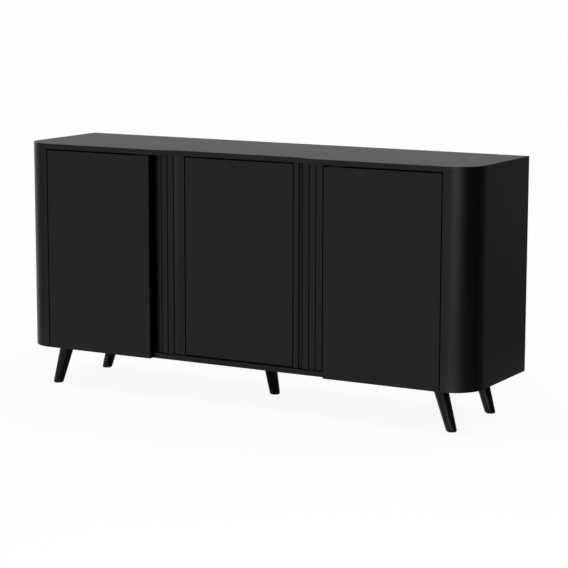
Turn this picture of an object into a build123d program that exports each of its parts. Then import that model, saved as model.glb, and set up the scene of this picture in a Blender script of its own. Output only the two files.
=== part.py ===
"""Black sideboard buffet: three doors, rounded front corners, fluted panels, splayed legs.

Millimetres, +Z up, front facing -Y. The origin lies on the floor under the middle of the cabinet.
"""
import os

from build123d import *

# Overall size
WIDTH = 1540.0
DEPTH = 400.0
BODY_HEIGHT = 643.0
LEG_HEIGHT = 125.0
BOARD = 16.0
CORNER_RADIUS = 95.0
EDGE_ROUND = 0.8

# Fronts
REVEAL = 3.4
DOOR_TOP_GAP = 4.5
DOOR_BACK_GAP = 2.0
MID_DOOR_HALF = 185.0
FLUTED_STRIP = 115.0
FINGER_GAP = 14.0
MID_DOOR_SETBACK = 25.0
HINGE_EDGE_BEVEL = 3.5

# Set-back along the middle of the top's front edge
TOP_RECESS = 17.5
TOP_RECESS_FROM_DOOR = 38.0
TOP_RECESS_RUN = 54.0
TOP_RECESS_ROUND = 30.0

# Fluted panels
FLUTED_SETBACK = 17.5
FLUTED_SIDE_GAP = 1.6
FLUTED_OUTER_BEVEL = (14.0, 3.0)
FLUTED_INNER_BEVEL = (16.0, 9.1)
FLUTED_FOOT_GAP = 3.4
FLUTE_PITCH = 22.0
FLUTE_WIDTH = 3.4
FLUTE_DEPTH = 4.0
FLUTE_COUNT = 3
BATTEN = 20.0
BATTEN_END_GAP = 4.0

# Back panels and shelves
BACK_SHEET = 3.0
BACK_INSET = 2.0
RABBET = 8.0
SHEET_GAP = 0.5
BACK_SCREW_FROM_END = 90.0
SHELF_SETBACK = 60.0
SHELF_BACK_GAP = 6.0
SHELF_SIDE_GAP = 0.5
SHELF_PIN_FROM_EDGE = 40.0
SHELF_PIN_RADIUS = 2.5
SHELF_PIN_DEPTH = 7.0
SHELF_PIN_TAB = (8.0, 10.0, 5.0)

# Dowels
DOWEL_RADIUS = 4.0
DOWEL_LENGTH = 30.0
DOWEL_INTO_FACE = 10.0
DOWEL_ROOM = 0.5
DOWEL_FROM_FRONT = 120.0
DOWEL_FROM_BACK = 100.0
SIDE_DOWEL_FROM_FRONT = 140.0
SIDE_DOWEL_FROM_BACK = 50.0
POST_DOWEL_FROM_END = 100.0
FLUTED_DOWEL_DEPTH = 9.6
FIT = 0.05

# Hinges, measured from the pin: along the door towards its middle, and towards the back
HINGE_FROM_END = 95.0
PIN_FROM_EDGE = 9.0
PIN_FROM_FACE = 6.0
PIN_RADIUS = 1.2
PIN_HALF = 9.0
RUNNING_FIT = 0.05
CUP_FROM_EDGE = 22.0
CUP_RADIUS = 17.5
CUP_DEPTH = 13.0
CUP_WALL = 1.2
CUP_FLOOR = 0.5
FLANGE = 1.2
FLANGE_RADIUS = 18.3
WING = (18.0, 62.0)
WING_OFFSET = 9.5
CUP_SCREW_Z = 25.0
LUG_INNER = 6.3
LUG_HALF = 2.4
LUG_EDGE = 1.7
LUG_OVER = 0.4
ARM_HALF = 6.0
ARM_SHEET = 2.4
ARM_EYE = 2.2
ARM_REACH = 13.0
ARM_TURN = 16.0
ARM_END = 62.0
PLATE_SHEET = 3.0
PLATE_START = 21.0
PLATE_HALF = 8.0
PLATE_WING = (18.0, 44.0)
PLATE_WING_AT = 40.0
PLATE_SCREW_Z = 16.0

# Push latch, catches and bumpers
LATCH_FROM_EDGE = 35.0
LATCH_BOX = (20.0, 80.0, 19.0)
LATCH_DROP = 10.0
PLUNGER_RADIUS = 4.0
PLUNGER_LENGTH = 60.0
PLUNGER_OUT = 3.7
STRIKE = (14.0, 1.0, 9.0)
CONTACT_GAP = 0.3
CATCH_FROM_EDGE = 35.0
CATCH_BOX = (44.0, 14.0, 14.0)
CATCH_PLATE = (40.0, 0.8, 8.0)
CATCH_SCREW_X = 15.0
LATCH_SCREW = ((-7.0, 30.0), (7.0, 55.0))
BUMPER_RADIUS = 5.0
BUMPER_FROM_EDGE = 18.0

# Legs
LEG_LEAN = 38.0
LEG_FROM_END = 119.6
LEG_FROM_FRONT = 62.0
LEG_FROM_BACK = 62.0
MID_LEG_Y = 12.0
LEG_TOP_RADIUS = 21.5
LEG_FOOT_RADIUS = 15.4
LEG_PLATE = (70.0, 70.0, 3.0)
LEG_SCREW_AT = 26.0
STUD_RADIUS = 4.0
STUD_LENGTH = 35.0
GLIDE_RADIUS = 13.5
GLIDE_HEIGHT = 3.0
LEG_SPARE = 20.0

# Screws: shank radius, shank length, head radius, head height
BACK_SCREW = (1.5, 15.0, 3.5, 1.3)
HINGE_SCREW = (1.9, 12.0, 3.6, 1.6)
LEG_SCREW = (2.0, 15.0, 4.0, 2.0)
CATCH_SCREW = (1.5, 10.0, 3.0, 1.5)
SCREW_ROOM = 0.1

# Planes and edges that follow from the sizes above
HALF = WIDTH / 2
FRONT_Y = -DEPTH / 2
BACK_Y = DEPTH / 2
FLOOR_Z = LEG_HEIGHT
FLOOR_TOP_Z = FLOOR_Z + BOARD
ROOF_Z = LEG_HEIGHT + BODY_HEIGHT - BOARD
RAIL_Y = FRONT_Y + BOARD + DOOR_BACK_GAP
MID_Y = FRONT_Y + MID_DOOR_SETBACK
INNER_HALF = HALF - BOARD
POST_X = HALF - CORNER_RADIUS + REVEAL / 2
SIDE_DOOR_OUTER_X = POST_X - REVEAL
DIVIDER_X = MID_DOOR_HALF + REVEAL
DIVIDER_OUTER_X = DIVIDER_X + BOARD
SHEET_Y = BACK_Y - BACK_INSET - BACK_SHEET
SIDE_DOOR_INNER_X = MID_DOOR_HALF + FLUTED_STRIP
FLUTED_OUTER_X = SIDE_DOOR_INNER_X - FINGER_GAP
FLUTED_INNER_X = DIVIDER_OUTER_X + FLUTED_SIDE_GAP
TOP_RECESS_OUTER_X = SIDE_DOOR_INNER_X - TOP_RECESS_FROM_DOOR
TOP_RECESS_INNER_X = TOP_RECESS_OUTER_X - TOP_RECESS_RUN
FLUTED_Y = FRONT_Y + FLUTED_SETBACK
DOOR_TOP_Z = ROOF_Z - DOOR_TOP_GAP
MID_DOOR_Z = FLOOR_TOP_Z + REVEAL
SHELF_Z = (FLOOR_TOP_Z + ROOF_Z - BOARD) / 2
PARTITION_Y = RAIL_Y
SHELF_FRONT_Y = FRONT_Y + SHELF_SETBACK
SHELF_BACK_Y = SHEET_Y - SHELF_BACK_GAP
SHELF_PIN_Y = (SHELF_FRONT_Y + SHELF_PIN_FROM_EDGE, SHELF_BACK_Y - SHELF_PIN_FROM_EDGE)
DOWEL_Y = (FRONT_Y + DOWEL_FROM_FRONT, BACK_Y - DOWEL_FROM_BACK)
SIDE_DOWEL_Y = (FRONT_Y + SIDE_DOWEL_FROM_FRONT, BACK_Y - SIDE_DOWEL_FROM_BACK)
LATCH_X = MID_DOOR_HALF - LATCH_FROM_EDGE
CATCH_X = SIDE_DOOR_INNER_X + CATCH_FROM_EDGE
BUMPER_X = SIDE_DOOR_INNER_X + BUMPER_FROM_EDGE
LEG_TOP_X = HALF - LEG_FROM_END
LEG_FRONT_Y = FRONT_Y + LEG_FROM_FRONT
LEG_REAR_Y = BACK_Y - LEG_FROM_BACK
SIDES = (("left", -1), ("right", 1))


# Small helpers used by many pieces
def slab(x0, x1, y0, y1, z0, z1, mode=Mode.ADD):
    """Add or cut a rectangular block given by its faces."""
    with BuildSketch(Plane.XY.offset(z0)) as outline:
        with Locations(((x0 + x1) / 2, (y0 + y1) / 2)):
            Rectangle(abs(x1 - x0), abs(y1 - y0))
    extrude(outline.sketch, amount=z1 - z0, mode=mode)


def rod(start, direction, radius, length, mode=Mode.ADD):
    """Add or cut a round rod that begins at start and runs along direction."""
    with Locations(Plane(origin=start, z_dir=direction)):
        Cylinder(radius, length, align=(Align.CENTER, Align.CENTER, Align.MIN), mode=mode)


def screw(seat, direction, size):
    """Add a pan-head screw whose head rests on the point seat."""
    shank_radius, shank_length, head_radius, head_height = size
    away = tuple(-d for d in direction)
    rod(seat, direction, shank_radius, shank_length)
    rod(seat, away, head_radius, head_height)


def screw_hole(seat, direction, size):
    """Cut the hole of a screw, a little wider and longer than its shank."""
    rod(seat, direction, size[0] + SCREW_ROOM, size[1] + 2 * SCREW_ROOM, mode=Mode.SUBTRACT)


def save(builder, name):
    """Name a finished piece and write its file."""
    builder.part.label = name
    export_step(builder.part, f"parts/{name}.step")
    print(f"{name}: {len(builder.part.solids())} solid(s)")


os.makedirs("parts", exist_ok=True)

# Dowels: the two boards that each one joins, its lower end and its direction
dowels = []
for side, s in SIDES:
    for board, x in (("partition", POST_X + BOARD / 2), ("divider", DIVIDER_X + BOARD / 2)):
        for y in DOWEL_Y:
            low = FLOOR_TOP_Z - DOWEL_INTO_FACE
            high = ROOF_Z + DOWEL_INTO_FACE - DOWEL_LENGTH
            dowels.append(((f"{board}_{side}", "bottom_panel"), (s * x, y, low), (0, 0, 1)))
            dowels.append(((f"{board}_{side}", "top_panel"), (s * x, y, high), (0, 0, 1)))
    panel_mid = s * (FLUTED_INNER_X + FLUTED_OUTER_X) / 2
    panel_deep = FLUTED_Y + FLUTED_DOWEL_DEPTH
    dowels.append(((f"fluted_panel_{side}", "bottom_panel"), (panel_mid, panel_deep, low), (0, 0, 1)))
    dowels.append(((f"fluted_panel_{side}", "top_panel"), (panel_mid, panel_deep, high), (0, 0, 1)))
    for y in SIDE_DOWEL_Y:
        into_side = s * (INNER_HALF + DOWEL_INTO_FACE)
        wall = s * (INNER_HALF + BOARD / 2)
        level = FLOOR_Z + BOARD / 2
        dowels.append(((f"side_panel_{side}", "bottom_panel"), (into_side, y, level), (-s, 0, 0)))
        dowels.append(((f"side_panel_{side}", "top_panel"), (wall, y, high), (0, 0, 1)))
    for z in (FLOOR_Z + POST_DOWEL_FROM_END, ROOF_Z - POST_DOWEL_FROM_END):
        seam = FRONT_Y + CORNER_RADIUS - DOWEL_LENGTH / 4
        dowels.append(((f"side_panel_{side}", f"corner_post_{side}"), (wall, seam, z), (0, 1, 0)))


def dowel_holes(board):
    """Drill every dowel hole of one board."""
    for boards, start, direction in dowels:
        if board in boards:
            mouth = tuple(p - DOWEL_ROOM * d for p, d in zip(start, direction))
            rod(mouth, direction, DOWEL_RADIUS + FIT, DOWEL_LENGTH + 2 * DOWEL_ROOM, mode=Mode.SUBTRACT)


with BuildPart() as dowel_set:
    for boards, start, direction in dowels:
        rod(start, direction, DOWEL_RADIUS, DOWEL_LENGTH)
save(dowel_set, "dowels")

# Back panel screws: point on the sheet's outer face
back_screws = {"left": [], "middle": [], "right": []}
for z in (FLOOR_Z + BACK_SCREW_FROM_END, (FLOOR_Z + ROOF_Z) / 2, ROOF_Z - BACK_SCREW_FROM_END):
    outer_face = SHEET_Y + BACK_SHEET
    for side, s in SIDES:
        back_screws[side].append((s * (INNER_HALF + RABBET / 2), outer_face, z))
        back_screws[side].append((s * (DIVIDER_OUTER_X - BOARD / 4), outer_face, z))
        back_screws["middle"].append((s * (DIVIDER_X + BOARD / 4), outer_face, z))

with BuildPart() as back_screw_set:
    for points in back_screws.values():
        for seat in points:
            screw(seat, (0, -1, 0), BACK_SCREW)
save(back_screw_set, "back_panel_screws")


def back_screw_holes():
    """Cut the back panel screw holes that pass through the current piece."""
    for points in back_screws.values():
        for seat in points:
            screw_hole(seat, (0, -1, 0), BACK_SCREW)


# Hinges: pin place, direction towards the door's middle, and heights, for each door
side_heights = (FLOOR_Z + HINGE_FROM_END, DOOR_TOP_Z - HINGE_FROM_END)
mid_heights = (MID_DOOR_Z + HINGE_FROM_END, DOOR_TOP_Z - HINGE_FROM_END)
side_pin_x = SIDE_DOOR_OUTER_X - PIN_FROM_EDGE
hinges = {
    "left": (-side_pin_x, FRONT_Y + PIN_FROM_FACE, 1, side_heights),
    "middle": (-(MID_DOOR_HALF - PIN_FROM_EDGE), MID_Y + PIN_FROM_FACE, 1, mid_heights),
    "right": (side_pin_x, FRONT_Y + PIN_FROM_FACE, -1, side_heights),
}
PARTITION_FROM_PIN = PIN_FROM_EDGE + REVEAL
CUP_CENTRE = CUP_FROM_EDGE - PIN_FROM_EDGE
DOOR_BACK_FROM_PIN = BOARD - PIN_FROM_FACE


def cup_screw_seats(door):
    """Points on the cup flange under the two screw heads of every hinge of a door."""
    pin_x, pin_y, k, heights = hinges[door]
    x = pin_x + k * (CUP_CENTRE + WING_OFFSET)
    y = pin_y + DOOR_BACK_FROM_PIN + FLANGE
    return [(x, y, z + dz) for z in heights for dz in (-CUP_SCREW_Z, CUP_SCREW_Z)]


def plate_screw_seats(door):
    """Points on the mounting plate under the two screw heads of every hinge of a door."""
    pin_x, pin_y, k, heights = hinges[door]
    x = pin_x - k * (PARTITION_FROM_PIN - PLATE_SHEET)
    y = pin_y + PLATE_WING_AT
    return [(x, y, z + dz) for z in heights for dz in (-PLATE_SCREW_Z, PLATE_SCREW_Z)]


def hinge_holes(door):
    """Cut the cup pockets and screw holes in a door."""
    pin_x, pin_y, k, heights = hinges[door]
    for z in heights:
        bottom = pin_y + DOOR_BACK_FROM_PIN - CUP_DEPTH - SCREW_ROOM
        mouth = (pin_x + k * CUP_CENTRE, bottom, z)
        rod(mouth, (0, 1, 0), CUP_RADIUS + FIT, CUP_DEPTH * 2, mode=Mode.SUBTRACT)
    for seat in cup_screw_seats(door):
        screw_hole(seat, (0, -1, 0), HINGE_SCREW)


for door, (pin_x, pin_y, k, heights) in hinges.items():
    back = pin_y + DOOR_BACK_FROM_PIN

    with BuildPart() as cups:
        for z in heights:
            centre = (pin_x + k * CUP_CENTRE, back - CUP_DEPTH, z)
            rod(centre, (0, 1, 0), CUP_RADIUS, CUP_DEPTH + FLANGE)
            rod((centre[0], back, z), (0, 1, 0), FLANGE_RADIUS, FLANGE)
            wing_x = centre[0] + k * WING_OFFSET
            slab(wing_x - WING[0] / 2, wing_x + WING[0] / 2, back, back + FLANGE,
                 z - WING[1] / 2, z + WING[1] / 2)
            hollow = (centre[0], centre[1] + CUP_FLOOR, z)
            rod(hollow, (0, 1, 0), CUP_RADIUS - CUP_WALL, CUP_DEPTH + FLANGE, mode=Mode.SUBTRACT)
            for dz in (-1, 1):
                lug = (z + dz * LUG_INNER, z + dz * (PIN_HALF + LUG_OVER))
                edge = pin_x - k * LUG_EDGE
                slab(edge, pin_x + k * LUG_HALF, back - CUP_DEPTH, pin_y + LUG_HALF, min(lug), max(lug))
            rod((pin_x, pin_y, z - PIN_HALF), (0, 0, 1), PIN_RADIUS + FIT, 2 * PIN_HALF, mode=Mode.SUBTRACT)
        for seat in cup_screw_seats(door):
            screw_hole(seat, (0, -1, 0), HINGE_SCREW)
    save(cups, f"hinge_cups_{door}")

    with BuildPart() as pins:
        for z in heights:
            rod((pin_x, pin_y, z - PIN_HALF), (0, 0, 1), PIN_RADIUS, 2 * PIN_HALF)
    save(pins, f"hinge_pins_{door}")

    with BuildPart() as arms:
        reach = ARM_REACH + ARM_SHEET
        foot = -PARTITION_FROM_PIN + PLATE_SHEET
        turn = ARM_TURN + ARM_SHEET
        outline = [
            (0, -ARM_SHEET / 2), (reach, -ARM_SHEET / 2), (reach, turn), (foot + ARM_SHEET, turn),
            (foot + ARM_SHEET, ARM_END), (foot, ARM_END), (foot, ARM_TURN), (ARM_REACH, ARM_TURN),
            (ARM_REACH, ARM_SHEET / 2), (0, ARM_SHEET / 2),
        ]
        for z in heights:
            with BuildSketch(Plane.XY.offset(z - ARM_HALF)):
                with BuildLine():
                    Polyline(*[(pin_x + k * u, pin_y + v) for u, v in outline], close=True)
                make_face()
                with Locations((pin_x, pin_y)):
                    Circle(ARM_EYE)
                    Circle(PIN_RADIUS + RUNNING_FIT, mode=Mode.SUBTRACT)
            extrude(amount=2 * ARM_HALF)
    save(arms, f"hinge_arms_{door}")

    with BuildPart() as plates:
        wall = pin_x - k * PARTITION_FROM_PIN
        inner = wall + k * PLATE_SHEET
        for z in heights:
            slab(wall, inner, pin_y + PLATE_START, pin_y + ARM_END, z - PLATE_HALF, z + PLATE_HALF)
            wing_y = pin_y + PLATE_WING_AT
            slab(wall, inner, wing_y - PLATE_WING[0] / 2, wing_y + PLATE_WING[0] / 2,
                 z - PLATE_WING[1] / 2, z + PLATE_WING[1] / 2)
        for seat in plate_screw_seats(door):
            screw_hole(seat, (-k, 0, 0), HINGE_SCREW)
    save(plates, f"hinge_plates_{door}")

    with BuildPart() as cup_screws:
        for seat in cup_screw_seats(door):
            screw(seat, (0, -1, 0), HINGE_SCREW)
    save(cup_screws, f"cup_screws_{door}")

with BuildPart() as plate_screws:
    for door, (pin_x, pin_y, k, heights) in hinges.items():
        for seat in plate_screw_seats(door):
            screw(seat, (-k, 0, 0), HINGE_SCREW)
save(plate_screws, "hinge_plate_screws")

# Shelf pins: hole mouth on the upright's face and direction into the upright
shelf_pins = []
for side, s in SIDES:
    for y in SHELF_PIN_Y:
        shelf_pins.append((f"divider_{side}", (s * DIVIDER_OUTER_X, y), -s))
        shelf_pins.append((f"partition_{side}", (s * POST_X, y), s))
        shelf_pins.append((f"divider_{side}", (s * DIVIDER_X, y), s))
PIN_AXIS_Z = SHELF_Z - SHELF_PIN_TAB[2] / 2

with BuildPart() as shelf_pin_set:
    for board, (x, y), into in shelf_pins:
        rod((x, y, PIN_AXIS_Z), (into, 0, 0), SHELF_PIN_RADIUS, SHELF_PIN_DEPTH)
        slab(x, x - into * SHELF_PIN_TAB[0], y - SHELF_PIN_TAB[1] / 2, y + SHELF_PIN_TAB[1] / 2,
             SHELF_Z - SHELF_PIN_TAB[2], SHELF_Z)
save(shelf_pin_set, "shelf_pins")


def upright_holes(board):
    """Drill the dowel, shelf pin, back screw and hinge screw holes of one upright."""
    dowel_holes(board)
    back_screw_holes()
    for owner, (x, y), into in shelf_pins:
        if owner == board:
            rod((x, y, PIN_AXIS_Z), (into, 0, 0), SHELF_PIN_RADIUS + FIT, SHELF_PIN_DEPTH + DOWEL_ROOM,
                mode=Mode.SUBTRACT)
    for door, (pin_x, pin_y, k, heights) in hinges.items():
        for seat in plate_screw_seats(door):
            screw_hole(seat, (-k, 0, 0), HINGE_SCREW)


# Catch and latch screws: point under each head, driven upwards into the top
catch_y = RAIL_Y - DOOR_BACK_GAP + CATCH_PLATE[1] + CONTACT_GAP
latch_y = MID_Y + BOARD + STRIKE[1] + CONTACT_GAP + PLUNGER_OUT
catch_screw_seats = []
for side, s in SIDES:
    for dx in (-CATCH_SCREW_X, CATCH_SCREW_X):
        catch_screw_seats.append((s * CATCH_X + dx, catch_y + CATCH_BOX[1] / 2, ROOF_Z - CATCH_BOX[2]))
for dx, dy in LATCH_SCREW:
    catch_screw_seats.append((LATCH_X + dx, latch_y + dy, ROOF_Z - LATCH_BOX[2]))


def catch_screw_length(seat):
    """Shank length so that every screw reaches equally far into the top."""
    radius, grip, head_radius, head_height = CATCH_SCREW
    return radius, ROOF_Z - seat[2] + grip, head_radius, head_height


def catch_screw_holes():
    """Cut the holes of the catch and latch screws."""
    for seat in catch_screw_seats:
        screw_hole(seat, (0, 0, 1), catch_screw_length(seat))


with BuildPart() as catch_screw_set:
    for seat in catch_screw_seats:
        screw(seat, (0, 0, 1), catch_screw_length(seat))
save(catch_screw_set, "catch_screws")

with BuildPart() as catches:
    for side, s in SIDES:
        slab(s * CATCH_X - CATCH_BOX[0] / 2, s * CATCH_X + CATCH_BOX[0] / 2, catch_y, catch_y + CATCH_BOX[1],
             ROOF_Z - CATCH_BOX[2], ROOF_Z)
    catch_screw_holes()
save(catches, "magnetic_catches")

plunger_z = ROOF_Z - LATCH_DROP
with BuildPart() as latch:
    slab(LATCH_X - LATCH_BOX[0] / 2, LATCH_X + LATCH_BOX[0] / 2, latch_y, latch_y + LATCH_BOX[1],
         ROOF_Z - LATCH_BOX[2], ROOF_Z)
    bore_length = PLUNGER_LENGTH + PLUNGER_OUT
    mouth = (LATCH_X, latch_y, plunger_z)
    rod(mouth, (0, 1, 0), PLUNGER_RADIUS + RUNNING_FIT, bore_length, mode=Mode.SUBTRACT)
    catch_screw_holes()
save(latch, "push_latch_housing")

with BuildPart() as plunger:
    rod((LATCH_X, latch_y - PLUNGER_OUT, plunger_z), (0, 1, 0), PLUNGER_RADIUS, PLUNGER_LENGTH)
save(plunger, "push_latch_plunger")

# Leg places: top centre and lean, for each leg
legs = {
    "leg_front_left": ((-LEG_TOP_X, LEG_FRONT_Y), (-1, 0)),
    "leg_front_right": ((LEG_TOP_X, LEG_FRONT_Y), (1, 0)),
    "leg_rear_left": ((-LEG_TOP_X, LEG_REAR_Y), (-1, 0)),
    "leg_rear_right": ((LEG_TOP_X, LEG_REAR_Y), (1, 0)),
    "leg_middle": ((0, MID_LEG_Y), (0, 1)),
}
PLATE_UNDER_Z = FLOOR_Z - LEG_PLATE[2]
leg_axis_length = (LEG_HEIGHT**2 + LEG_LEAN**2) ** 0.5
leg_taper = (LEG_TOP_RADIUS - LEG_FOOT_RADIUS) / leg_axis_length


def leg_point(leg, z):
    """Point of a leg's centre line at a height, and the line's downward direction."""
    (x, y), (lx, ly) = legs[leg]
    out = LEG_LEAN * (LEG_HEIGHT - z) / LEG_HEIGHT
    return (x + lx * out, y + ly * out, z), (lx * LEG_LEAN, ly * LEG_LEAN, -LEG_HEIGHT)


leg_screw_seats = []
for (x, y), lean in legs.values():
    for dx in (-LEG_SCREW_AT, LEG_SCREW_AT):
        for dy in (-LEG_SCREW_AT, LEG_SCREW_AT):
            leg_screw_seats.append((x + dx, y + dy, PLATE_UNDER_Z))


def leg_screw_holes():
    """Cut the holes of all leg plate screws."""
    for seat in leg_screw_seats:
        screw_hole(seat, (0, 0, 1), LEG_SCREW)


for leg in legs:
    with BuildPart() as leg_part:
        (x, y, z), down = leg_point(leg, FLOOR_Z)
        rise = LEG_SPARE / leg_axis_length
        start = (x - down[0] * rise, y - down[1] * rise, z - down[2] * rise)
        length = leg_axis_length + 2 * LEG_SPARE
        with Locations(Plane(origin=start, z_dir=down)):
            Cone(LEG_TOP_RADIUS + leg_taper * LEG_SPARE, LEG_FOOT_RADIUS - leg_taper * LEG_SPARE, length,
                 align=(Align.CENTER, Align.CENTER, Align.MIN))
        split(bisect_by=Plane.XY.offset(PLATE_UNDER_Z), keep=Keep.BOTTOM)
        split(bisect_by=Plane.XY.offset(GLIDE_HEIGHT), keep=Keep.TOP)
        rod(start, down, STUD_RADIUS + FIT, LEG_SPARE + STUD_LENGTH + DOWEL_ROOM, mode=Mode.SUBTRACT)
    save(leg_part, leg)

with BuildPart() as leg_studs:
    for leg in legs:
        (x, y, z), down = leg_point(leg, FLOOR_Z)
        rise = LEG_SPARE / leg_axis_length
        start = (x - down[0] * rise, y - down[1] * rise, z - down[2] * rise)
        rod(start, down, STUD_RADIUS, LEG_SPARE + STUD_LENGTH)
    split(bisect_by=Plane.XY.offset(PLATE_UNDER_Z), keep=Keep.BOTTOM)
save(leg_studs, "leg_studs")

with BuildPart() as leg_plates:
    for (x, y), lean in legs.values():
        slab(x - LEG_PLATE[0] / 2, x + LEG_PLATE[0] / 2, y - LEG_PLATE[1] / 2, y + LEG_PLATE[1] / 2,
             PLATE_UNDER_Z, FLOOR_Z)
    leg_screw_holes()
save(leg_plates, "leg_plates")

with BuildPart() as leg_screws:
    for seat in leg_screw_seats:
        screw(seat, (0, 0, 1), LEG_SCREW)
save(leg_screws, "leg_plate_screws")

with BuildPart() as glides:
    for leg in legs:
        foot, down = leg_point(leg, 0.0)
        rod(foot, (0, 0, 1), GLIDE_RADIUS, GLIDE_HEIGHT)
save(glides, "leg_glides")

# Top panel with rounded corners and the set-back along its front
with BuildPart() as top_panel:
    with BuildSketch(Plane.XY.offset(ROOF_Z)) as top_outline:
        with BuildLine():
            Polyline(
                (-HALF, BACK_Y), (-HALF, FRONT_Y), (-TOP_RECESS_OUTER_X, FRONT_Y),
                (-TOP_RECESS_INNER_X, FRONT_Y + TOP_RECESS), (TOP_RECESS_INNER_X, FRONT_Y + TOP_RECESS),
                (TOP_RECESS_OUTER_X, FRONT_Y), (HALF, FRONT_Y), (HALF, BACK_Y), close=True,
            )
        make_face()
        front_corners = top_outline.vertices().group_by(Axis.Y)[0]
        fillet([v for v in front_corners if abs(v.X) > SIDE_DOOR_OUTER_X], CORNER_RADIUS)
        fillet([v for v in top_outline.vertices() if abs(v.X) < SIDE_DOOR_INNER_X], TOP_RECESS_ROUND)
    extrude(amount=BOARD)
    fillet(top_panel.faces().sort_by(Axis.Z)[-1].edges(), EDGE_ROUND)
    under_edges = top_panel.faces().sort_by(Axis.Z)[0].edges()
    fillet(under_edges, EDGE_ROUND)
    dowel_holes("top_panel")
    catch_screw_holes()
save(top_panel, "top_panel")

# Bottom panel, its front corners inside the posts
with BuildPart() as bottom_panel:
    with BuildSketch(Plane.XY.offset(FLOOR_Z)) as floor_outline:
        with Locations((0, (RAIL_Y + SHEET_Y) / 2)):
            Rectangle(2 * INNER_HALF, SHEET_Y - RAIL_Y)
        fillet(floor_outline.vertices().group_by(Axis.Y)[0], CORNER_RADIUS - BOARD + REVEAL)
    extrude(amount=BOARD)
    dowel_holes("bottom_panel")
    leg_screw_holes()
save(bottom_panel, "bottom_panel")

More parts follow.
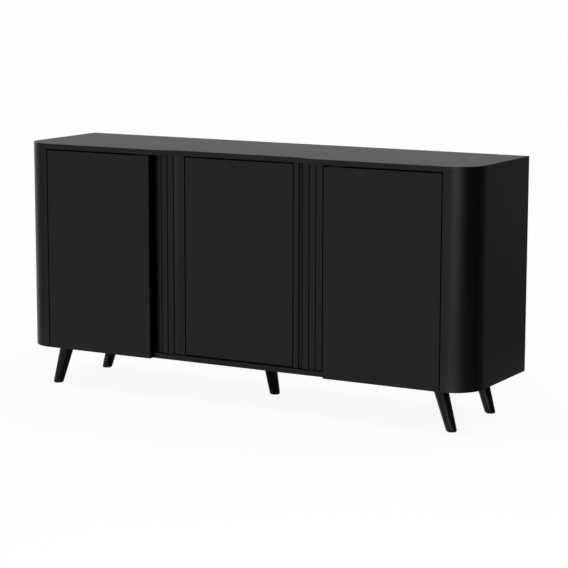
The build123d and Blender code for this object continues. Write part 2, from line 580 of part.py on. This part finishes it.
for side, s in SIDES:
    # Side panel with a rabbet for the back sheet
    with BuildPart() as side_panel:
        slab(s * INNER_HALF, s * HALF, FRONT_Y + CORNER_RADIUS, BACK_Y, FLOOR_Z, ROOF_Z)
        slab(s * INNER_HALF, s * (INNER_HALF + RABBET), SHEET_Y, BACK_Y, FLOOR_Z, ROOF_Z, mode=Mode.SUBTRACT)
        dowel_holes(f"side_panel_{side}")
        back_screw_holes()
    save(side_panel, f"side_panel_{side}")

    # Quarter-round corner post
    with BuildPart() as corner_post:
        with BuildSketch(Plane.XY.offset(FLOOR_Z)):
            with Locations((s * (HALF - CORNER_RADIUS), FRONT_Y + CORNER_RADIUS)):
                Circle(CORNER_RADIUS)
                Circle(CORNER_RADIUS - BOARD, mode=Mode.SUBTRACT)
            with Locations((s * (POST_X + WIDTH / 2), FRONT_Y + CORNER_RADIUS / 2)):
                Rectangle(WIDTH, CORNER_RADIUS, mode=Mode.INTERSECT)
        extrude(amount=ROOF_Z - FLOOR_Z)
        dowel_holes(f"corner_post_{side}")
    save(corner_post, f"corner_post_{side}")

    # Partition behind the post, which carries the door's hinges
    with BuildPart() as partition:
        slab(s * POST_X, s * (POST_X + BOARD), PARTITION_Y, SHEET_Y, FLOOR_TOP_Z, ROOF_Z)
        upright_holes(f"partition_{side}")
    save(partition, f"partition_{side}")

    # Divider beside the middle bay
    with BuildPart() as divider:
        slab(s * DIVIDER_X, s * DIVIDER_OUTER_X, MID_Y, SHEET_Y, FLOOR_TOP_Z, ROOF_Z)
        upright_holes(f"divider_{side}")
    save(divider, f"divider_{side}")

    # Fluted panel with its upright grooves
    with BuildPart() as fluted:
        foot = FLOOR_TOP_Z + FLUTED_FOOT_GAP
        slope_x = FLUTED_INNER_X + FLUTED_INNER_BEVEL[0]
        rear = FLUTED_Y + BOARD
        bevel_x = FLUTED_OUTER_X - FLUTED_OUTER_BEVEL[0]
        outline = [
            (FLUTED_OUTER_X, FLUTED_Y + FLUTED_OUTER_BEVEL[1]), (bevel_x, FLUTED_Y), (slope_x, FLUTED_Y),
            (FLUTED_INNER_X, FLUTED_Y + FLUTED_INNER_BEVEL[1]),
            (FLUTED_INNER_X, rear), (FLUTED_OUTER_X, rear),
        ]
        with BuildSketch(Plane.XY.offset(foot)):
            with BuildLine():
                Polyline(*[(s * x, y) for x, y in outline], close=True)
            make_face()
        extrude(amount=ROOF_Z - foot)
        face_edges = fluted.edges().filter_by(Axis.Z).group_by(Axis.Y)[0]
        fillet(face_edges.sort_by(Axis.X)[-1 if s > 0 else 0], EDGE_ROUND)
        for i in range(FLUTE_COUNT):
            x = s * (slope_x + i * FLUTE_PITCH)
            slab(x - FLUTE_WIDTH / 2, x + FLUTE_WIDTH / 2, FLUTED_Y, FLUTED_Y + FLUTE_DEPTH,
                 FLOOR_TOP_Z, ROOF_Z, mode=Mode.SUBTRACT)
        dowel_holes(f"fluted_panel_{side}")
    save(fluted, f"fluted_panel_{side}")

    # Batten that ties the fluted panel to the divider
    with BuildPart() as batten:
        slab(s * DIVIDER_OUTER_X, s * (DIVIDER_OUTER_X + BATTEN), FLUTED_Y + BOARD, FLUTED_Y + BOARD + BATTEN,
             FLOOR_TOP_Z + BATTEN_END_GAP, ROOF_Z - BATTEN_END_GAP)
    save(batten, f"fluted_batten_{side}")

    # Back sheet of the side bay
    with BuildPart() as back_panel:
        slab(s * (DIVIDER_X + BOARD / 2 + SHEET_GAP), s * (INNER_HALF + RABBET - SHEET_GAP), SHEET_Y,
             SHEET_Y + BACK_SHEET, FLOOR_Z + SHEET_GAP, ROOF_Z)
        back_screw_holes()
    save(back_panel, f"back_panel_{side}")

    # Shelf of the side bay
    with BuildPart() as shelf:
        slab(s * (DIVIDER_OUTER_X + SHELF_SIDE_GAP), s * (POST_X - SHELF_SIDE_GAP), SHELF_FRONT_Y,
             SHELF_BACK_Y, SHELF_Z, SHELF_Z + BOARD)
    save(shelf, f"shelf_{side}")

    # Outer door with a bevel on the back of its hinge edge
    with BuildPart() as door_part:
        slab(s * SIDE_DOOR_INNER_X, s * SIDE_DOOR_OUTER_X, FRONT_Y, FRONT_Y + BOARD, FLOOR_Z, DOOR_TOP_Z)
        fillet(door_part.faces().sort_by(Axis.Y)[0].edges(), EDGE_ROUND)
        back_edges = door_part.faces().sort_by(Axis.Y)[-1].edges().filter_by(Axis.Z)
        hinge_edge = back_edges.sort_by(Axis.X)[-1 if s > 0 else 0]
        chamfer(hinge_edge, HINGE_EDGE_BEVEL)
        hinge_holes(side)
    save(door_part, f"door_{side}")

    # Steel plate for the catch, and the bumper, on the back of the outer door
    with BuildPart() as catch_plate:
        door_back = FRONT_Y + BOARD
        high = DOOR_TOP_Z - REVEAL / 2
        slab(s * CATCH_X - CATCH_PLATE[0] / 2, s * CATCH_X + CATCH_PLATE[0] / 2, door_back,
             door_back + CATCH_PLATE[1], high - CATCH_PLATE[2], high)
    save(catch_plate, f"catch_plate_{side}")

    with BuildPart() as bumper:
        place = (s * BUMPER_X, FRONT_Y + BOARD, FLOOR_Z + BOARD / 2)
        rod(place, (0, 1, 0), BUMPER_RADIUS, DOOR_BACK_GAP - CONTACT_GAP)
    save(bumper, f"door_bumper_{side}")

# Middle bay: door, strike plate, shelf and back sheet
with BuildPart() as mid_door:
    slab(-MID_DOOR_HALF, MID_DOOR_HALF, MID_Y, MID_Y + BOARD, MID_DOOR_Z, DOOR_TOP_Z)
    fillet(mid_door.faces().sort_by(Axis.Y)[0].edges(), EDGE_ROUND)
    back_edges = mid_door.faces().sort_by(Axis.Y)[-1].edges().filter_by(Axis.Z)
    chamfer(back_edges.sort_by(Axis.X)[0], HINGE_EDGE_BEVEL)
    hinge_holes("middle")
save(mid_door, "door_middle")

with BuildPart() as strike:
    slab(LATCH_X - STRIKE[0] / 2, LATCH_X + STRIKE[0] / 2, MID_Y + BOARD, MID_Y + BOARD + STRIKE[1],
         plunger_z - STRIKE[2] / 2, plunger_z + STRIKE[2] / 2)
save(strike, "strike_plate")

with BuildPart() as mid_shelf:
    slab(-DIVIDER_X + SHELF_SIDE_GAP, DIVIDER_X - SHELF_SIDE_GAP, SHELF_FRONT_Y, SHELF_BACK_Y,
         SHELF_Z, SHELF_Z + BOARD)
save(mid_shelf, "shelf_middle")

with BuildPart() as mid_back:
    edge = DIVIDER_X + BOARD / 2 - SHEET_GAP
    slab(-edge, edge, SHEET_Y, SHEET_Y + BACK_SHEET, FLOOR_Z + SHEET_GAP, ROOF_Z)
    back_screw_holes()
save(mid_back, "back_panel_middle")
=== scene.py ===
# %% [markdown]
# # A black sideboard on a white sweep
# The cabinet stands on five splayed legs. Its boards are wrapped in satin black, its front corners
# are rounded, and two fluted panels flank a middle door that sits further back.
# The solid pieces arrive from the frame at their real size, so this lesson gives them their finishes,
# models the small hardware that a drawing leaves plain, and sets up the light and the camera.

# %% Load the cabinet
import math

import bpy
from mathutils import Matrix, Vector


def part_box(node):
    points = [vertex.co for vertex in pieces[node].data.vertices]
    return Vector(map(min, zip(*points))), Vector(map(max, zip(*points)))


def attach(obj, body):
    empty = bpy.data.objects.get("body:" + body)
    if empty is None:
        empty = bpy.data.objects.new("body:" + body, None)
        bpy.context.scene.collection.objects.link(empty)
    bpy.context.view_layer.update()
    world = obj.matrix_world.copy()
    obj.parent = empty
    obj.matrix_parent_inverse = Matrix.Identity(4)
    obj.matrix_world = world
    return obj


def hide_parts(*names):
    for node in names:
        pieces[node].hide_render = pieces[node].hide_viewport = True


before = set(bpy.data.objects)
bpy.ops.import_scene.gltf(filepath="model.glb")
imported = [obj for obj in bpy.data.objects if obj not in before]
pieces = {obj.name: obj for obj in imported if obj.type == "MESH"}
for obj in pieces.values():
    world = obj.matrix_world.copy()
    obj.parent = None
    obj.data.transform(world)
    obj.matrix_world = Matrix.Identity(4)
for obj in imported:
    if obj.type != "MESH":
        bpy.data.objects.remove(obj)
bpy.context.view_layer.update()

print("pieces in the frame:", len(pieces))

# %% [markdown]
# ## Camera
# The picture is taken from the right of the cabinet's middle, a little above its top, with a long lens
# from over six metres away. The place, turn and lens were worked out from the straight edges of the
# cabinet, so every edge falls where it should with no shift of the lens.

# %% Camera
camera = bpy.data.objects.new("camera", bpy.data.cameras.new("camera"))
bpy.context.scene.collection.objects.link(camera)
stand = (3.0448, -5.3447, 1.3552)
turned_left, looking_down, leaning = 29.1915, 9.2522, 0.1231
turn = Matrix.Rotation(math.radians(turned_left), 4, "Z")
tilt = Matrix.Rotation(math.radians(90 - looking_down), 4, "X")
roll = Matrix.Rotation(math.radians(leaning), 4, "Z")
camera.matrix_world = Matrix.Translation(stand) @ turn @ tilt @ roll
camera.data.lens, camera.data.sensor_width, camera.data.clip_end = 129.0, 36.0, 200.0
bpy.context.scene.camera = camera
bpy.context.scene.view_settings.view_transform = "Standard"
print("camera at", [round(v, 3) for v in camera.location])

# %% [markdown]
# ## A way to write finishes
# A finish is a tree of shader nodes. Written out link by link it is hard to read, so one small class
# holds an output of the tree and lets it be added, multiplied and so on as a number would be.
# Every other node comes from its method node, which sets a node's settings first and then its sockets.


# %% The class for finishes
class Wire:
    """One output in a finish's node tree."""

    def __init__(self, tree, socket=None):
        self.tree, self.socket = tree, socket

    def node(self, kind, settings=None, inputs=None, out=0):
        made = self.tree.nodes.new(kind)
        for name, value in (settings or {}).items():
            if name == "stops":
                ramp = made.color_ramp.elements
                while len(ramp) < len(value):
                    ramp.new(0.5)
                for stop, (place, colour) in zip(ramp, value):
                    stop.position, stop.color = place, colour
            else:
                setattr(made, name, value)
        for name, value in (inputs or {}).items():
            if isinstance(value, Wire):
                self.tree.links.new(value.socket, made.inputs[name])
            else:
                made.inputs[name].default_value = value
        return Wire(self.tree, made.outputs[out]) if made.outputs else None

    def math(self, operation, first, second):
        return self.node("ShaderNodeMath", {"operation": operation}, {0: first, 1: second})

    def __add__(self, other):
        return self.math("ADD", self, other)

    def __sub__(self, other):
        return self.math("SUBTRACT", self, other)

    def __rsub__(self, other):
        return self.math("SUBTRACT", other, self)

    def __mul__(self, other):
        return self.math("MULTIPLY", self, other)

    __radd__ = __add__
    __rmul__ = __mul__


def start_finish(name):
    """A new material with an empty tree, and the wire to begin from."""
    finish = bpy.data.materials.new(name)
    finish.use_nodes = True
    finish.node_tree.nodes.clear()
    return finish, Wire(finish.node_tree)


def close_finish(wire, colour, roughness, normal, **fixed):
    """End a finish in the shader that light meets."""
    inputs = {"Base Color": colour, "Roughness": roughness, "Normal": normal}
    inputs.update({name.replace("_", " "): value for name, value in fixed.items()})
    shader = wire.node("ShaderNodeBsdfPrincipled", inputs=inputs)
    wire.node("ShaderNodeOutputMaterial", inputs={"Surface": shader})


def grey(level):
    """An even grey as a colour."""
    return (level, level, level, 1)


print("finishes can be written as sums")

# %% [markdown]
# ## Satin black boards
# The boards carry a smooth black wrap with a soft sheen. It looks plain, but a light held low shows a
# faint streak along the board and a fine orange peel, and the sheen wanders a little.
# A picture of the wrap could be laid on, but it would need unwrapping and would repeat on long boards.
# Noise keeps its true scale everywhere: long thin noise gives the streak, fine noise gives the peel.
# The streak runs along a board's length, so the finish is made once for each direction.
# A face that lies flat gets wiped and scuffed, so its sheen is broader than on edges and upright faces.


# %% Satin black boards
def noise(wire, scale, stretch=(1, 1, 1), detail=4.0, rough=0.55):
    """Noise over the piece, drawn out along one direction."""
    place = wire.node("ShaderNodeTexCoord", out="Object")
    drawn = wire.node("ShaderNodeMapping", inputs={"Vector": place, "Scale": stretch})
    return wire.node("ShaderNodeTexNoise", inputs={
        "Vector": drawn, "Scale": scale, "Detail": detail, "Roughness": rough})


def satin_black(name, stretch):
    """Black wrap with a faint streak along the board and a broader sheen where the board lies flat."""
    deep, faded = grey(0.0012), grey(0.0026)
    sheen_upright, sheen_flat = 0.36, 0.525
    finish, wire = start_finish(name)
    streak = noise(wire, scale=60.0, stretch=stretch)
    cloud = noise(wire, scale=3.0, detail=2.0)
    peel = noise(wire, scale=900.0, detail=1.0)
    colour = wire.node("ShaderNodeValToRGB", {"stops": [(0.3, deep), (0.7, faded)]}, {"Fac": streak})
    facing = wire.node("ShaderNodeTexCoord", out="Normal")
    upward = wire.node("ShaderNodeSeparateXYZ", inputs={"Vector": facing}, out="Z")
    flat = wire.math("GREATER_THAN", upward * upward, 0.5)
    wander = (cloud - 0.5) * 0.05 + (streak - 0.5) * 0.06
    roughness = sheen_upright + flat * (sheen_flat - sheen_upright) + wander
    height = streak * 0.4 + peel * 0.6
    relief = {"Height": height, "Strength": 0.14, "Distance": 0.0002}
    close_finish(wire, colour, roughness, wire.node("ShaderNodeBump", inputs=relief), IOR=1.297)
    return finish


across = satin_black("satin_black_across", (0.03, 1, 1))
upright = satin_black("satin_black_upright", (1, 1, 0.03))
print("board finishes:", across.name, upright.name)

# %% [markdown]
# ## Lacquered legs
# The legs are turned wood under black lacquer. Lacquer is glossier than the wrap, and the wood's pores
# still print through it as fine upright lines. Ring patterns would give a whole grain, but paint hides
# that, so noise drawn out along the leg is enough for the pores, with a little wear in the gloss.

# %% Lacquered legs
lacquer, wire = start_finish("black_lacquer")
pores = noise(wire, scale=220.0, stretch=(1, 1, 0.05), detail=3.0)
worn = noise(wire, scale=12.0, detail=2.0)
deep, faded = grey(0.0022), grey(0.0045)
colour = wire.node("ShaderNodeValToRGB", {"stops": [(0.3, deep), (0.75, faded)]}, {"Fac": pores})
normal = wire.node("ShaderNodeBump", inputs={"Height": pores, "Strength": 0.08, "Distance": 0.0002})
gloss = 0.19 + (worn - 0.5) * 0.06
close_finish(wire, colour, gloss, normal, IOR=1.235)
print("leg finish:", lacquer.name)

# %% [markdown]
# ## The other finishes
# The back is thin hardboard with a dark printed face, the dowels are dyed beech, the hinges are nickel
# plated steel, the leg plates are painted, the catches are moulded, and the bumpers are soft rubber.
# Each one gets the grain, brush marks or moulded texture that its material shows close up.
# Six separate trees could be drawn, but these finishes differ only in tone, in the size and direction
# of their marks and in sheen, so one function makes them all.


# %% Back, wood and metal
def plain_finish(name, low, high, scale, stretch, sheen, bump, **fixed):
    """A finish whose tone, sheen and bump follow one noise."""
    finish, wire = start_finish(name)
    marks = noise(wire, scale, stretch)
    colour = wire.node("ShaderNodeValToRGB", {"stops": [(0.3, low), (0.7, high)]}, {"Fac": marks})
    normal = wire.node("ShaderNodeBump", inputs={"Height": marks, "Strength": bump, "Distance": 0.0003})
    close_finish(wire, colour, sheen + (marks - 0.5) * 0.15, normal, **fixed)
    return finish


even, along_grain, along_brush = (1, 1, 1), (1, 1, 0.05), (1, 0.06, 1)
dyed_dark, dyed_light = (0.010, 0.007, 0.005, 1), (0.016, 0.011, 0.008, 1)
hardboard = plain_finish("dark_hardboard", grey(0.006), grey(0.011), 350, even, 0.55, 0.25, IOR=1.4)
beech = plain_finish("dyed_beech", dyed_dark, dyed_light, 90, along_grain, 0.6, 0.2)
nickel = plain_finish("nickel_plate", grey(0.50), grey(0.66), 260, along_brush, 0.30, 0.1, Metallic=1.0)
paint = plain_finish("plate_paint", grey(0.008), grey(0.014), 500, even, 0.45, 0.3, IOR=1.4)
moulded = plain_finish("moulded_black", grey(0.008), grey(0.014), 700, even, 0.42, 0.3, IOR=1.4)
rubber = plain_finish("soft_rubber", grey(0.30), grey(0.38), 400, even, 0.6, 0.2)
print("small finishes: hardboard, beech, nickel, paint, moulded, rubber")

# %% [markdown]
# ## Which piece gets which finish
# The record names a material slot for every piece, so the slot picks the finish and no piece is missed.
# Boards are sorted further by the way they lie: the streak runs across on the top, bottom and shelves,
# upright on the doors, posts and panels.

# %% Give every piece its finish
by_slot = {
    "black_leg_wood": lacquer, "back_sheet": hardboard, "beech": beech, "nickel_steel": nickel,
    "plate_paint": paint, "black_plastic": moulded, "bumper_rubber": rubber,
}
lying = ("top_panel", "bottom_panel", "shelf_left", "shelf_middle", "shelf_right")
for name, piece in pieces.items():
    slot = piece.material_slots[0]
    base = slot.material.name.split(".")[0]
    slot.material = by_slot.get(base, across if name in lying else upright)
print("finished pieces:", len(pieces))

# %% [markdown]
# ## Screws with a cross recess
# The drawing has plain pins with round heads for screws. Real ones have a domed pan head with a cross
# for the screwdriver and a pointed shank. A cross could be painted on, but open doors and the back show
# the heads from near by, so it is cut. One screw is turned from a cylinder, its rim is rounded with a
# bevel, its shank is drawn out of the underside, and a tapered cross is cut from the head.
# Copies then stand where the drawing's screws are, each turned differently, as a hand leaves them.


# %% Helpers for modelling by hand
def select_only(*objects):
    """Select these objects alone and make the first one active."""
    bpy.ops.object.select_all(action="DESELECT")
    for chosen in objects:
        chosen.select_set(True)
    bpy.context.view_layer.objects.active = objects[0]


def edit_faces(target, test):
    """Open a mesh for editing with only the faces selected that pass a test on centre and normal."""
    select_only(target)
    bpy.ops.object.mode_set(mode="EDIT")
    bpy.ops.mesh.select_mode(type="FACE")
    bpy.ops.mesh.select_all(action="DESELECT")
    bpy.ops.object.mode_set(mode="OBJECT")
    for face in target.data.polygons:
        face.select = test(face.center, face.normal)
    bpy.ops.object.mode_set(mode="EDIT")


def close_edit():
    bpy.ops.object.mode_set(mode="OBJECT")


print("helpers: select_only, edit_faces, close_edit")


# %% One pan-head screw
def cross_bit(size):
    """A tapered cross that fits the recess of a screw head."""
    long, wide, deep, taper = size * 1.2, size * 0.26, size * 0.9, 0.55
    arms = []
    for turned in (0, 90):
        bpy.ops.object.select_all(action="DESELECT")
        bpy.ops.mesh.primitive_cube_add(size=1.0)
        arm = bpy.context.object
        arm.scale = (long, wide, deep)
        arm.rotation_euler = (0, 0, math.radians(turned))
        bpy.ops.object.transform_apply(location=True, rotation=True, scale=True)
        edit_faces(arm, lambda centre, normal: normal.z < -0.9)
        bpy.ops.transform.resize(value=(taper, taper, 1.0))
        close_edit()
        arms.append(arm)
    select_only(*arms)
    bpy.ops.object.join()
    return bpy.context.object


def pan_head_screw(head_radius, head_height, shank_radius, shank_length):
    """One screw whose head rests on z = 0 and whose shank points down."""
    shank, point = (shank_length * 0.8, 1.0), (shank_length * 0.2, 0.25)
    rim_round, sharp_from = head_height * 0.45, math.radians(35)
    bpy.ops.object.select_all(action="DESELECT")
    bpy.ops.mesh.primitive_cylinder_add(vertices=24, radius=head_radius, depth=head_height,
                                        location=(0, 0, head_height / 2))
    screw = bpy.context.object
    bpy.ops.object.transform_apply(location=True, rotation=True, scale=True)
    edit_faces(screw, lambda centre, normal: normal.z > 0.9)
    bpy.ops.mesh.bevel(offset=rim_round, segments=3, affect="EDGES")
    close_edit()
    edit_faces(screw, lambda centre, normal: normal.z < -0.9)
    bpy.ops.mesh.inset(thickness=head_radius - shank_radius)
    for drop, narrow in (shank, point):
        bpy.ops.mesh.extrude_region_move(TRANSFORM_OT_translate={"value": (0, 0, -drop)})
        bpy.ops.transform.resize(value=(narrow, narrow, 1.0))
    close_edit()
    bit = cross_bit(head_radius)
    bit.location.z = head_height
    cut = screw.modifiers.new("cross", "BOOLEAN")
    cut.operation, cut.solver, cut.use_self, cut.object = "DIFFERENCE", "EXACT", True, bit
    select_only(screw)
    bpy.ops.object.modifier_apply(modifier="cross")
    bpy.data.objects.remove(bit)
    bpy.ops.object.shade_smooth_by_angle(angle=sharp_from)
    return screw


sample = pan_head_screw(head_radius=0.0035, head_height=0.0013, shank_radius=0.0015, shank_length=0.015)
print("one screw has", len(sample.data.polygons), "faces")
bpy.data.objects.remove(sample)


# %% Where the drawing's screws are
same_point, near_axis, rim_from = 0.000001, 0.0005, 0.95


def screw_places(name):
    """Seat point, outward direction and sizes of every screw in a piece, measured on a loose copy."""
    copy = pieces[name].copy()
    copy.data, copy.parent = pieces[name].data.copy(), None
    bpy.context.scene.collection.objects.link(copy)
    select_only(copy)
    bpy.ops.object.mode_set(mode="EDIT")
    bpy.ops.mesh.select_all(action="SELECT")
    bpy.ops.mesh.remove_doubles(threshold=same_point)
    bpy.ops.mesh.separate(type="LOOSE")
    close_edit()
    places = []
    for part in list(bpy.context.selected_objects):
        points = [vertex.co.copy() for vertex in part.data.vertices]
        low = Vector([min(p[i] for p in points) for i in range(3)])
        high = Vector([max(p[i] for p in points) for i in range(3)])
        along = max(range(3), key=lambda i: high[i] - low[i])
        middle = (low + high) / 2
        aside = [i for i in range(3) if i != along]
        spread = {p.freeze(): math.hypot(*[p[i] - middle[i] for i in aside]) for p in points}
        head_radius = max(spread.values())
        rim = [p[along] for p in spread if spread[p] > head_radius * rim_from]
        way = 1 if sum(rim) / len(rim) > middle[along] else -1
        shank = [r for p, r in spread.items() if (p[along] - middle[along]) * way < 0 and r > near_axis]
        head_height = max(rim) - min(rim)
        top = high[along] if way > 0 else low[along]
        seat = middle.copy()
        seat[along] = top - way * head_height
        out = Vector((0, 0, 0))
        out[along] = way
        shank_length = high[along] - low[along] - head_height
        places.append((seat, out, (head_radius, head_height, min(shank), shank_length)))
        bpy.data.objects.remove(part)
    return places


print("first screw of the back:", screw_places("back_panel_screws")[0])


# %% Stand the screws in their places
turn_step = 37


def stand_screws(name, places, body):
    """Copies of one screw at every place, joined into one piece."""
    shortest = min((sizes for _, _, sizes in places), key=lambda sizes: sizes[-1])
    master = pan_head_screw(*shortest)
    copies = []
    for number, (seat, out, _) in enumerate(places):
        made = master.copy()
        made.data = master.data.copy()
        bpy.context.scene.collection.objects.link(made)
        spin = Matrix.Rotation(math.radians(turn_step * number), 4, "Z")
        upright_to_out = out.to_track_quat("Z", "Y").to_matrix().to_4x4()
        made.matrix_world = Matrix.Translation(seat) @ upright_to_out @ spin
        copies.append(made)
    bpy.data.objects.remove(master)
    select_only(*copies)
    bpy.ops.object.join()
    joined = bpy.context.object
    bpy.ops.object.transform_apply(location=True, rotation=True, scale=True)
    joined.name = name
    joined.data.materials.clear()
    joined.data.materials.append(nickel)
    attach(joined, body)
    return joined


screw_bodies = {
    "back_panel_screws": "carcass", "hinge_plate_screws": "carcass", "leg_plate_screws": "carcass",
    "catch_screws": "carcass", "cup_screws_left": "door_left", "cup_screws_middle": "door_middle",
    "cup_screws_right": "door_right",
}
for name, body in screw_bodies.items():
    joined = stand_screws("cross_" + name, screw_places(name), body)
    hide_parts(name)
    print(joined.name, "has", len(joined.data.polygons), "faces")

# %% [markdown]
# ## Adjusting screws on the hinges
# Every concealed hinge has two screws on its arm, which set the door in line with its neighbours.
# The drawing's arm is plain, and the screws catch the light when a door is open, so they are added.
# They could be drawn anew, but they are the same pan-head screw, only smaller, so that one is used again
# in the middle of the arm that lies along the upright.

# %% Adjusting screws on the hinges
arm_proud, end_to_screw, before_back = 0.0024, 0.006, (0.010, 0.030)
small_screw = (0.0030, 0.0012, 0.0014, 0.0022)
adjusters = []
for door, into in (("left", 1), ("middle", 1), ("right", -1)):
    low, high = (Vector(corner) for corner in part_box(f"hinge_arms_{door}"))
    plate_low, plate_high = (Vector(corner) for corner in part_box(f"hinge_plates_{door}"))
    face = (plate_high.x if into > 0 else plate_low.x) + into * arm_proud
    for level in (low.z + end_to_screw, high.z - end_to_screw):
        for ahead in before_back:
            seat = Vector((face, high.y - ahead, level))
            adjusters.append((seat, Vector((into, 0, 0)), small_screw))
hinge_adjusters = stand_screws("hinge_adjusters", adjusters, "carcass")
print(hinge_adjusters.name, "has", len(adjusters), "screws")

# %% [markdown]
# ## Floor and surroundings
# The photograph shows nothing but white round the cabinet. The floor is a pale sheet that still takes
# the cabinet's soft shadow. To the camera, and in reflections, it shows mostly as plain white.
# A lit sheet alone could be made white too, but only with so much lamp light that the black boards
# would turn grey. A sheet that glows only where it is looked at leaves the light on the cabinet alone.

# %% Floor and surroundings
sheet_size, sheet_tone, white_share = 160.0, 0.95, 0.9
bpy.ops.object.select_all(action="DESELECT")
bpy.ops.mesh.primitive_plane_add(size=sheet_size)
floor = bpy.context.object
floor.name = "floor"


def seen_plainly(wire):
    """1 for rays from the camera, a reflection or clear glass, and 0 for light on its way."""
    paths = [wire.node("ShaderNodeLightPath", out=name)
             for name in ("Is Camera Ray", "Is Glossy Ray", "Is Transmission Ray")]
    return wire.math("MINIMUM", paths[0] + paths[1] + paths[2], 1.0)


sweep, wire = start_finish("white_sweep")
sheet = wire.node("ShaderNodeBsdfDiffuse", inputs={"Color": grey(sheet_tone)})
white = wire.node("ShaderNodeEmission", inputs={"Color": grey(1.0), "Strength": 1.0})
share = seen_plainly(wire) * white_share
shown = wire.node("ShaderNodeMixShader", inputs={0: share, 1: sheet, 2: white})
wire.node("ShaderNodeOutputMaterial", inputs={"Surface": shown})
floor.data.materials.append(sweep)

world = bpy.data.worlds.new("studio")
bpy.context.scene.world = world
world.use_nodes = True
world.node_tree.nodes.clear()
wire = Wire(world.node_tree)
white = wire.node("ShaderNodeBackground", inputs={"Color": grey(1.0), "Strength": 1.0})
wire.node("ShaderNodeOutputWorld", inputs={"Surface": white})
print("floor and world are white")

# %% [markdown]
# ## Lamp
# One tall soft box stands in front, a little right of the camera.
# It draws the bright line down the right corner post. A card could draw that line as well, but a lamp
# also throws a little light into the open cabinet, so its shelves and hinges can be read.


# %% Lamp
cabinet_middle = Vector((0, 0, 0.4))


def soft_box(name, azimuth, distance, height, width, tall, power):
    """A soft box on a circle round the cabinet, turned to its middle."""
    lamp = bpy.data.lights.new(name, "AREA")
    lamp.shape, lamp.size, lamp.size_y, lamp.energy = "RECTANGLE", width, tall, power
    box = bpy.data.objects.new(name, lamp)
    bpy.context.scene.collection.objects.link(box)
    angle = math.radians(azimuth)
    box.location = (distance * math.sin(angle), -distance * math.cos(angle), height)
    box.rotation_euler = (cabinet_middle - box.location).to_track_quat("-Z", "Y").to_euler()
    return box


front_box = soft_box("front_box", azimuth=36, distance=2.5, height=0.92,
                     width=0.9, tall=1.5, power=6.3)
print("lamp:", front_box.name, "at", [round(v, 2) for v in front_box.location])

# %% [markdown]
# ## Cards and cloths
# A black cabinet shows little but what it reflects, so a studio shapes it with cards. The right side is
# kept dark, which draws the deep band down the right corner post, and the left side is kept dim, which
# keeps the left post from shining all the way round. Dark cloths under the cabinet are painted shade for
# the inner legs: they stand for the floor's shadow there. Two glowing cards low on the right are painted
# highlights: they put the shine on the outer legs.
# Lamps could draw some of this, but they would also light the floor. Cards show only in reflections.


# %% Cards and cloths
def card_paint(name, level):
    """A plain card that shows at the same level whatever light falls on it."""
    paint, wire = start_finish(name)
    glow = wire.node("ShaderNodeEmission", inputs={"Color": grey(1.0), "Strength": level})
    wire.node("ShaderNodeOutputMaterial", inputs={"Surface": glow})
    return paint


def card(name, paint, corners):
    """A flat card between four corners that shows only in reflections."""
    bpy.ops.object.select_all(action="DESELECT")
    bpy.ops.mesh.primitive_plane_add(size=1.0)
    made = bpy.context.object
    made.name = name
    for vertex, corner in zip(made.data.vertices, corners):
        vertex.co = corner
    made.visible_camera = made.visible_diffuse = made.visible_shadow = False
    made.visible_transmission = False
    made.data.materials.append(paint)


def screen(name, paint, feet, tall=2.2):
    """A folding screen that stands on the floor along these feet."""
    for leaf, ((x0, y0), (x1, y1)) in enumerate(zip(feet, feet[1:])):
        card(f"{name}_{leaf}", paint, [(x0, y0, 0), (x1, y1, 0), (x0, y0, tall), (x1, y1, tall)])


def cloth(name, paint, corners, height=0.001):
    """A cloth that lies flat on the floor between four corners."""
    card(name, paint, [(x, y, height) for x, y in corners])


black_card = card_paint("card_black", 0.02)
dark_card = card_paint("card_dark", 0.14)
dim_card = card_paint("card_dim", 0.38)
# Painted shade: the dark glow of the cloths that stand for the floor's shadow under the cabinet.
shade = card_paint("floor_shade", 0.14)
# These two cards glow though they are no lamps: they are painted highlights on the outer legs and the
# right post.
highlight_card = card_paint("card_bright", 2.8)
leg_highlight_card = card_paint("card_leg", 4.0)
screen("right_screen", black_card, [(1.75, -1.15), (1.95, -0.1), (1.93, 0.78)])
screen("right_rear_screen", dark_card, [(1.93, 0.78), (1.85, 1.6), (1.2, 3.6)])
cloth("right_cloth", black_card, [(0.84, -0.16), (1.6, -1.1), (0.80, 0.3), (2.0, 0.3)])
cloth("right_rear_cloth", dark_card, [(0.84, 0.3), (2.0, 0.3), (0.84, 3.6), (2.0, 3.6)])
# Painted highlights: a glowing card far off and a glowing cloth near the legs put the shine on the outer
# legs.
screen("low_highlight_glow", highlight_card, [(1.4, -4.17), (2.98, -3.53)], 0.6)
cloth("leg_highlight_glow", leg_highlight_card, [(0.70, -0.64), (0.84, -0.64), (0.71, -0.02), (0.87, -0.02)], 0.002)
# A dim cloth in front of the right post paints a darker reflection on its lower end, against the spill
# of the painted leg highlight.
cloth("post_shade", dim_card, [(0.92, -1.6), (1.75, -1.35), (0.86, -0.95), (1.3, -0.8)])
screen("left_screen", dim_card, [(-1.54, -0.86), (-1.72, -0.3), (-1.74, -0.02)])
cloth("left_cloth", dim_card, [(-1.6, -0.5), (-0.86, -0.3), (-1.72, -0.02), (-0.86, -0.02)])
# Painted shade: the floor's shadow under the cabinet is laid in as dark cloths seen only in reflections,
# which darken the inner legs.
cloth("left_shade", shade, [(-0.668, -0.2), (-0.2, -0.42), (-0.668, 0.2), (-0.2, 0.2)])
cloth("middle_shade", shade, [(-0.2, -0.38), (0.3, -0.38), (-0.2, 0.2), (0.3, 0.2)])
print("cards: screens and cloths on each side, shade below, two bright cards on the right")
